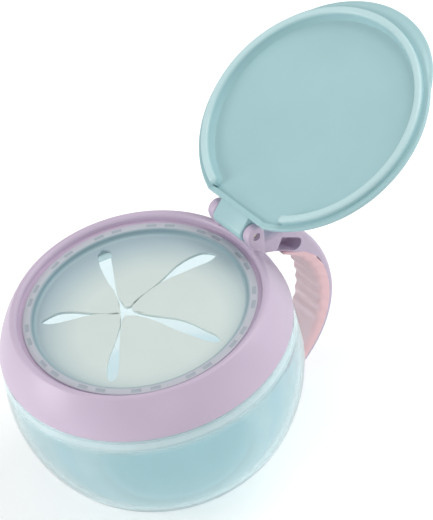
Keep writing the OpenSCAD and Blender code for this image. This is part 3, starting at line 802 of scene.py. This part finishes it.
def make_rib():
    """A rounded bead with a steep inner wall, open at the hinge."""
    section = [
        (-2.5, EDGE_Z + 1.6), (-2.25, EDGE_Z + 1.1), (-1.9, EDGE_Z + 0.3), (-1.5, EDGE_Z - 0.9),
        (-1.3, EDGE_Z - 1.9), (-1.05, EDGE_Z - 2.3), (-0.6, EDGE_Z - 2.5), (0.5, EDGE_Z - 2.55),
        (0.95, EDGE_Z - 2.4), (1.2, EDGE_Z - 2), (1.25, EDGE_Z - 1), (1.3, EDGE_Z + 1.5),
    ]
    top, rings = EDGE_Z + 1.5, []
    for i in range(RIB_STEPS + 1):
        out = polar(1, RIB_START + (RIB_END - RIB_START) * i / RIB_STEPS)
        from_end = min(i, RIB_STEPS - i) * radians(RIB_END - RIB_START) / RIB_STEPS * RIB_R
        keep = sqrt(max(0.04, 1 - (1 - from_end / RIB_ROUND) ** 2)) if from_end < RIB_ROUND else 1
        rings.append([
            (*(out * (RIB_R + across * keep)), top + (z - top) * (0.5 + 0.5 * keep))
            for across, z in section
        ])
    return smooth(skin("lid_rib", rings), 50)


def lip_reach(angle):
    """How far the lip's round outline lies from the cup's axis."""
    along = LIP_Y * sin(radians(angle))
    return along + sqrt(LIP_R ** 2 - LIP_Y ** 2 + along ** 2)


def lip_ring(angle):
    """The lip's section at an angle, which overlaps the dome's edge and ends in a thin round rim."""
    reach = lip_reach(angle)
    rise = LIP_RISE * (reach - LID_R) / (LIP_R - LIP_Y - LID_R)
    low, start, end = EDGE_Z - 0.04, min(42.3, reach - 1.3), reach - 0.95
    section = [(40.4, low), (start, low)]
    section += [(start + (end - start) * t, low + (rise + 0.1) * t ** 1.4) for t in (0.25, 0.5, 0.75, 0.95)]
    section += arc((reach - 0.7, EDGE_Z + rise + 0.75), 0.7, -65, 75, 6)
    section += [(42.4 + (reach - LID_R) * 0.3, EDGE_Z + 1.7 + rise * 0.55)]
    section += [(40.9, EDGE_Z + 2.08), (40.4, EDGE_Z + 1.8)]
    out = polar(1, angle)
    return [(*(out * r), z) for r, z in section]


def make_lip():
    angles = [-90 - LIP_HALF + 2 * LIP_HALF * i / LIP_STEPS for i in range(LIP_STEPS + 1)]
    return smooth(skin("thumb_lip", [lip_ring(angle) for angle in angles]), 40)


# %% [markdown]
# ## The lid's knuckle
# The knuckle turns on the pin between the ears. It is a bevelled slab, because
# its outline is the same all along the pin, and a plate joins it to the dome.
# With all its parts joined, the lid is turned open about the pin.

# %% The knuckle, the straight edge and the open lid
KNUCKLE_R, TAB_HALF, BEAD_HALF = 4, 7.4, 14.2


def make_tab():
    """The knuckle: a flat face from the lid's chord, a tight corner and a round back."""
    outline = (
        [(CHORD_Y - 0.2, EDGE_Z + 0.12), (45.2, 75.42), (46.1, 75.85), (46.75, 76.6), (47.1, 77.6)]
        + arc((PIN_Y, PIN_Z), KNUCKLE_R, 0, 160, 20)
        + [(36.2, EDGE_Z + 3.2), (36.2, EDGE_Z + 2), (38.5, EDGE_Z + 1.6), (38.8, EDGE_Z + 0.6)]
    )
    tab = slab("hinge_tab", outline, -TAB_HALF, TAB_HALF)
    modify(tab, "BEVEL", width=0.5 * MM, segments=3, limit_method="ANGLE", angle_limit=radians(60))
    return smooth(tab)


def make_edge_bead():
    """A raised bead along the straight edge."""
    low, high, near, far = EDGE_Z - 0.1, EDGE_Z + 1.6, 38.4, CHORD_Y + 0.02
    bead = slab("edge_bead", [(near, high), (near, low), (far, low), (far, high)], -BEAD_HALF, BEAD_HALF)
    modify(bead, "BEVEL", width=0.35 * MM, segments=3, limit_method="ANGLE", angle_limit=radians(60))
    return smooth(bead)


def open_lid(piece):
    """Turns the lid's mesh about the pin, so that the object itself stays unturned."""
    pivot = Vector((0, PIN_Y, PIN_Z)) * MM
    piece.data.transform(
        Matrix.Translation(pivot) @ Matrix.Rotation(radians(-LID_OPEN), 4, "X") @ Matrix.Translation(-pivot)
    )


lid = join("flip_lid", [make_dome(), make_rib(), make_lip(), make_tab(), make_edge_bead()])
open_lid(lid)
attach(lid, "lid")
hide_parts("lid")
report(lid)

# %% [markdown]
# ## Finishes
# Each finish is a Principled shader whose colour and roughness vary a little
# with fine noise in Object coordinates, as moulded plastic and rubber do.

# %% Helpers: colour, noise, span and ramp
def colour(red, green, blue):
    """A colour as it is seen on a screen, from 0 to 255, made linear for the shader."""
    return tuple(((c / 255 + 0.055) / 1.055) ** 2.4 for c in (red, green, blue)) + (1,)


def noise(tree, place, scale, detail=2):
    node = tree.nodes.new("ShaderNodeTexNoise")
    node.inputs["Scale"].default_value = scale
    node.inputs["Detail"].default_value = detail
    tree.links.new(place, node.inputs["Vector"])
    return node.outputs["Fac"]


def span(tree, value, low, high, from_low=0, from_high=1):
    """Moves a value from one range to another, held at both ends."""
    node = tree.nodes.new("ShaderNodeMapRange")
    for key, number in (("From Min", from_low), ("From Max", from_high), ("To Min", low), ("To Max", high)):
        node.inputs[key].default_value = number
    tree.links.new(value, node.inputs["Value"])
    return node.outputs["Result"]


def ramp(tree, value, stops):
    """A colour for each place from 0 to 1 along a value."""
    node = tree.nodes.new("ShaderNodeValToRGB")
    elements = node.color_ramp.elements
    while len(elements) < len(stops):
        elements.new(0.5)
    for element, (place, tone) in zip(elements, stops):
        element.position = place
        element.color = tone
    tree.links.new(value, node.inputs["Fac"])
    return node.outputs["Color"]


# %% [markdown]
# ## Where a colour changes
# Some pieces change colour from place to place: the membrane has painted light
# that is palest a little off its middle and painted shade that deepens towards
# its rim, and the lid has a painted highlight along its rib. A measure of the
# place, from 0 to 1, picks the tone. It is worked out from Object coordinates,
# so it stays on the piece when the piece moves.

# %% Measures: distance from the axis, height in the lid
MEASURE_R, MEASURE_H = 40, 10
# The spot where the membrane's painted light is palest; its painted shade deepens with distance from here.
DISC_PAINTED_LIGHT_MIDDLE = (7, -1.5)
CREST_Z = EDGE_Z - 2.6


def radius(tree, place, centre=(0, 0)):
    """Distance from an upright line, as a share of MEASURE_R."""
    flat = tree.nodes.new("ShaderNodeVectorMath")
    flat.operation = "MULTIPLY_ADD"
    flat.inputs[1].default_value = (1, 1, 0)
    flat.inputs[2].default_value = (-centre[0] * MM, -centre[1] * MM, 0)
    tree.links.new(place, flat.inputs[0])
    size = tree.nodes.new("ShaderNodeVectorMath")
    size.operation = "LENGTH"
    tree.links.new(flat.outputs["Vector"], size.inputs[0])
    return span(tree, size.outputs["Value"], 0, 1, 0, MEASURE_R * MM)


def disc_painted_shade_radius(tree, place):
    """Distance from a spot a little off the membrane's middle, where its painted light is palest; painted
    shade deepens away from it.
    """
    return radius(tree, place, DISC_PAINTED_LIGHT_MIDDLE)


def lid_height(tree, place):
    """Height in the closed lid from the rib's crest, as a share of MEASURE_H."""
    turn = radians(-LID_OPEN)
    away = tree.nodes.new("ShaderNodeVectorMath")
    away.operation = "SUBTRACT"
    away.inputs[1].default_value = (0, PIN_Y * MM, PIN_Z * MM)
    tree.links.new(place, away.inputs[0])
    along = tree.nodes.new("ShaderNodeVectorMath")
    along.operation = "DOT_PRODUCT"
    along.inputs[1].default_value = (0, -sin(turn), cos(turn))
    tree.links.new(away.outputs["Vector"], along.inputs[0])
    crest = (CREST_Z - PIN_Z) * MM
    return span(tree, along.outputs["Value"], 0, 1, crest, crest + MEASURE_H * MM)


# %% [markdown]
# ## The moulded finish
# One function makes the finish of every opaque piece. A cloudy noise varies the
# colour and the gloss a little, and a fine noise gives the grain. Where a colour
# changes with the place, a ramp takes the base colour's part. Thin rubber also
# lets a little light through, which is a Translucent shader mixed in.

# %% A moulded finish
MOTTLE, CLOUD_SCALE, GRAIN_HEIGHT, GLOSS_PLAY = 0.04, 45, 0.1, 0.05


def finish(name, base, roughness, grain=900, depth=0.02, stops=None, measure=None, glow=0, metallic=0):
    """Mottled colour, uneven gloss, a fine grain and, for thin rubber, a glow."""
    material = bpy.data.materials.new(name)
    material.use_nodes = True
    tree = material.node_tree
    shader = tree.nodes["Principled BSDF"]
    shader.inputs["Metallic"].default_value = metallic
    place = tree.nodes.new("ShaderNodeTexCoord").outputs["Object"]
    cloud = noise(tree, place, CLOUD_SCALE, 3)
    tint = tree.nodes.new("ShaderNodeMix")
    tint.data_type = "RGBA"
    tint.blend_type = "MULTIPLY"
    tint.inputs["Factor"].default_value = 1
    tint.inputs["A"].default_value = base
    if stops:
        tree.links.new(ramp(tree, measure(tree, place), stops), tint.inputs["A"])
    shade = [(0.3, (1 - MOTTLE, 1 - MOTTLE, 1 - MOTTLE, 1)), (0.7, (1, 1, 1, 1))]
    tree.links.new(ramp(tree, cloud, shade), tint.inputs["B"])
    tree.links.new(tint.outputs["Result"], shader.inputs["Base Color"])
    gloss = span(tree, cloud, roughness - GLOSS_PLAY, roughness + GLOSS_PLAY)
    tree.links.new(gloss, shader.inputs["Roughness"])
    bump = tree.nodes.new("ShaderNodeBump")
    bump.inputs["Strength"].default_value = depth
    bump.inputs["Distance"].default_value = GRAIN_HEIGHT * MM
    tree.links.new(noise(tree, place, grain), bump.inputs["Height"])
    tree.links.new(bump.outputs["Normal"], shader.inputs["Normal"])
    if glow:
        through = tree.nodes.new("ShaderNodeBsdfTranslucent")
        tree.links.new(tint.outputs["Result"], through.inputs["Color"])
        mix = tree.nodes.new("ShaderNodeMixShader")
        mix.inputs["Fac"].default_value = glow
        tree.links.new(shader.outputs["BSDF"], mix.inputs[1])
        tree.links.new(through.outputs["BSDF"], mix.inputs[2])
        tree.links.new(mix.outputs["Shader"], tree.nodes["Material Output"].inputs["Surface"])
    return material


# %% [markdown]
# ## The clear plastic
# The bowl is tinted plastic that light passes through. Every surface takes a
# little colour from it and the thickness takes more, which is a Volume
# Absorption shader. The neck is frosted, because a collar hides it and its wall
# would show as dark rings. A shadow ray passes straight on, so that the cup
# throws the pale shadow of a clear thing.

# %% The clear finish
CLEAR_IOR, CLEAR_ROUGH = 1.32, (0.06, 0.1)
FROST, FROST_FROM, FROST_TO = 0.55, 52.5, 56
WALL_MIDDLE = (32.5, 33.2)
BASE_ZONE = 30
DEPTH_TONE, DEPTH_DENSITY = (0.3, 0.8, 0.85, 1), 30


def outside_base(tree, place):
    """1 on the outer side of the wall near the base and 0 on its inner side, and the height."""
    parts = tree.nodes.new("ShaderNodeSeparateXYZ")
    tree.links.new(place, parts.inputs["Vector"])
    across = span(tree, radius(tree, place), -low_c[0] * MM, (MEASURE_R - low_c[0]) * MM)
    top = MEASURE_R - low_c[1]
    up = span(tree, parts.outputs["Z"], -low_c[1] * MM, top * MM, 0, MEASURE_R * MM)
    section = tree.nodes.new("ShaderNodeCombineXYZ")
    tree.links.new(across, section.inputs["X"])
    tree.links.new(up, section.inputs["Y"])
    size = tree.nodes.new("ShaderNodeVectorMath")
    size.operation = "LENGTH"
    tree.links.new(section.outputs["Vector"], size.inputs[0])
    inner, outer = (r * MM for r in WALL_MIDDLE)
    return span(tree, size.outputs["Value"], 0, 1, inner, outer), parts.outputs["Z"]


def clear_finish():
    """Clear tinted plastic, a little deeper in colour outside the base's edge and frosted at the neck."""
    material = bpy.data.materials.new("clear_aqua")
    material.use_nodes = True
    tree = material.node_tree
    shader = tree.nodes["Principled BSDF"]
    shader.inputs["IOR"].default_value = CLEAR_IOR
    place = tree.nodes.new("ShaderNodeTexCoord").outputs["Object"]
    outside, height = outside_base(tree, place)
    wall_tone, deep_tone = colour(226, 237, 239), colour(206, 228, 236)
    tone = tree.nodes.new("ShaderNodeMix")
    tone.data_type = "RGBA"
    tone.inputs["A"].default_value = wall_tone
    stops = [(0.26, wall_tone), (0.36, deep_tone), (0.48, deep_tone), (0.75, wall_tone)]
    tree.links.new(ramp(tree, span(tree, height, 0, 1, 0, BASE_ZONE * MM), stops), tone.inputs["B"])
    tree.links.new(outside, tone.inputs["Factor"])
    tree.links.new(tone.outputs["Result"], shader.inputs["Base Color"])
    tree.links.new(span(tree, noise(tree, place, 60), *CLEAR_ROUGH), shader.inputs["Roughness"])
    frost = span(tree, height, 1, FROST, FROST_FROM * MM, FROST_TO * MM)
    tree.links.new(frost, shader.inputs["Transmission Weight"])
    through = tree.nodes.new("ShaderNodeBsdfTransparent")
    through.inputs["Color"].default_value = colour(243, 247, 248)
    path = tree.nodes.new("ShaderNodeLightPath")
    mix = tree.nodes.new("ShaderNodeMixShader")
    tree.links.new(path.outputs["Is Shadow Ray"], mix.inputs["Fac"])
    tree.links.new(shader.outputs["BSDF"], mix.inputs[1])
    tree.links.new(through.outputs["BSDF"], mix.inputs[2])
    tree.links.new(mix.outputs["Shader"], tree.nodes["Material Output"].inputs["Surface"])
    depth = tree.nodes.new("ShaderNodeVolumeAbsorption")
    depth.inputs["Color"].default_value = DEPTH_TONE
    depth.inputs["Density"].default_value = DEPTH_DENSITY
    tree.links.new(depth.outputs["Volume"], tree.nodes["Material Output"].inputs["Volume"])
    return material


def dress(piece, *materials):
    piece.data.materials.clear()
    for material in materials:
        piece.data.materials.append(material)


# %% [markdown]
# ## The colours
# The membrane is one thin sheet of rubber, and its colour follows the distance
# from the cup's axis. It is pale over the bowl, with painted light palest a little
# off its middle and painted shade that deepens near the rim, and it is mauve where
# it lies on the lavender shelf. The ring has a painted dark line of shade at the
# crease of its step. The slots' edges are darker, partly as a thick cut edge of
# tinted rubber is and partly as painted shade.

# %% Tones that change with the place, and the finishes
# The membrane's tones by distance: its own pale colour in the middle, then painted shade that deepens
# towards the rim, where the collar blocks light.
DISC_TONE_AND_SHADE = [
    (0, colour(224, 236, 232)), (0.6, colour(224, 236, 232)), (0.75, colour(212, 227, 226)),
    (0.9, colour(192, 211, 216)), (1, colour(176, 197, 206)),
]
# The ring's tones by radius: a painted dark line of shade at the crease of the step down to the disc, partly
# the deeper tint of the rubber's edge, then the grey-mauve band over the shelf.
BAND_TONE_AND_SHADE = [
    (0.88, colour(184, 205, 210)), (0.898, colour(156, 182, 190)), (0.912, colour(136, 162, 171)),
    (0.925, colour(168, 184, 192)), (0.935, colour(194, 199, 207)), (1, colour(198, 199, 208)),
]
# The lid's tones by height: a painted highlight along the rib's crest and a faint painted shade just beside
# it, on the lid's own aqua.
LID_PAINTED_HIGHLIGHT_STOPS = [
    (0, colour(196, 226, 229)), (0.05, colour(192, 223, 226)), (0.16, colour(166, 204, 208)),
    (0.26, colour(170, 207, 211)), (1, colour(170, 207, 211)),
]
lavender = finish("lavender_satin", colour(205, 188, 210), 0.36)
aqua = finish("aqua_satin", colour(170, 207, 211), 0.34, stops=LID_PAINTED_HIGHLIGHT_STOPS, measure=lid_height)
rose = finish("rose_rubber", colour(248, 206, 211), 0.6, grain=1400, depth=0.15)
membrane = finish(
    "membrane_rubber", DISC_TONE_AND_SHADE[0][1], 0.5, grain=1500, depth=0.25, stops=DISC_TONE_AND_SHADE, measure=disc_painted_shade_radius, glow=0.1,
)
band = finish("membrane_band", BAND_TONE_AND_SHADE[0][1], 0.45, grain=1500, depth=0.25, stops=BAND_TONE_AND_SHADE, measure=radius)
# The slots' cut walls: partly the deeper tint of thick rubber, partly painted shade inside the narrow slots.
edge_tone_and_shade = finish("membrane_edge", colour(112, 150, 158), 0.4)
thick_tone = finish("membrane_block", colour(172, 181, 190), 0.42)
seal_white = finish("seal_silicone", colour(228, 232, 232), 0.5)
steel = finish("pin_steel", colour(176, 170, 164), 0.28, metallic=1)
clear = clear_finish()
print("Finishes:", [material.name for material in bpy.data.materials])

# %% [markdown]
# ## Dress the pieces
# Each piece gets its finish. The handle's spine is the CAD model's own node and
# only changes its material. On the soft ring, the faces of the window dimples
# get the tone of thick rubber, and are found by their height and radius.

# %% Assign the finishes
for piece, materials in (
    (bowl, [clear]), (thread, [clear]), (seal, [seal_white]), (soft_ring, [band, thick_tone]),
    (grip, [rose]), (pin, [steel]), (lid, [aqua]), (collar, [lavender]), (nodes["handle"], [lavender]),
    *((flap, [membrane, edge_tone_and_shade]) for flap in flaps),
):
    dress(piece, *materials)
thick_faces = 0
for face in soft_ring.data.polygons:
    middle = face.center / MM
    if 70.45 < middle.z < 70.95 and 37.5 < hypot(middle.x, middle.y) < 39.45:
        face.material_index = 1
        thick_faces += 1
print("Faces in the window dimples:", thick_faces)

# %% [markdown]
# ## Floor and light
# A pale floor takes the soft shadow. It glows a little for the camera and in
# reflections, but throws no light, so it looks white and still keeps the shadow.
# Soft lamps stand left, right, in front and above, as in a studio.

# %% Floor, world and lamps
FLOOR_SIZE, FLOOR_DROP = 6, 0.0001
FLOOR_LIFT, WORLD_LEVEL = 0.29, 0.52


def seen_directly(tree, kinds):
    """1 where the camera, or these kinds of ray, meet the surface, and 0 for light."""
    path = tree.nodes.new("ShaderNodeLightPath")
    total = path.outputs["Is Camera Ray"]
    for name in kinds:
        node = tree.nodes.new("ShaderNodeMath")
        node.operation = "MAXIMUM"
        tree.links.new(total, node.inputs[0])
        tree.links.new(path.outputs[name], node.inputs[1])
        total = node.outputs["Value"]
    return total


def make_floor():
    deselect()
    bpy.ops.mesh.primitive_plane_add(size=FLOOR_SIZE, location=(0, 0, -FLOOR_DROP))
    floor = bpy.context.object
    floor.name = "floor"
    material = bpy.data.materials.new("floor_white")
    material.use_nodes = True
    tree = material.node_tree
    shader = tree.nodes["Principled BSDF"]
    shader.inputs["Base Color"].default_value = colour(244, 244, 244)
    shader.inputs["Roughness"].default_value = 0.9
    shader.inputs["Emission Color"].default_value = (1, 1, 1, 1)
    seen = seen_directly(tree, ("Is Glossy Ray", "Is Transmission Ray"))
    tree.links.new(span(tree, seen, 0, FLOOR_LIFT), shader.inputs["Emission Strength"])
    dress(floor, material)


def make_world():
    world = bpy.data.worlds.new("studio")
    bpy.context.scene.world = world
    world.use_nodes = True
    tree = world.node_tree
    background = tree.nodes["Background"]
    background.inputs["Color"].default_value = (1, 1, 1, 1)
    seen = seen_directly(tree, ("Is Transmission Ray",))
    tree.links.new(span(tree, seen, WORLD_LEVEL, 1), background.inputs["Strength"])


def add_lamp(name, place, size, power):
    """A soft rectangle of light at a place in millimetres, aimed at the cup."""
    deselect()
    bpy.ops.object.light_add(type="AREA", location=Vector(place) * MM)
    lamp = bpy.context.object
    lamp.name = name
    lamp.data.shape = "RECTANGLE"
    lamp.data.size, lamp.data.size_y = size[0] * MM, size[1] * MM
    lamp.data.energy = power
    aim = Vector((0, 0, 50)) * MM - lamp.location
    lamp.rotation_euler = aim.to_track_quat("-Z", "Y").to_euler()


make_floor()
make_world()
add_lamp("right_softbox", (350, 620, 420), (350, 600), 1.5)
add_lamp("left_softbox", (-280, -700, 240), (350, 600), 3.1)
add_lamp("front_softbox", (680, -300, 200), (300, 300), 0.5)
add_lamp("top_softbox", (60, 500, 850), (500, 500), 2.6)
bpy.context.scene.view_settings.view_transform = "Standard"
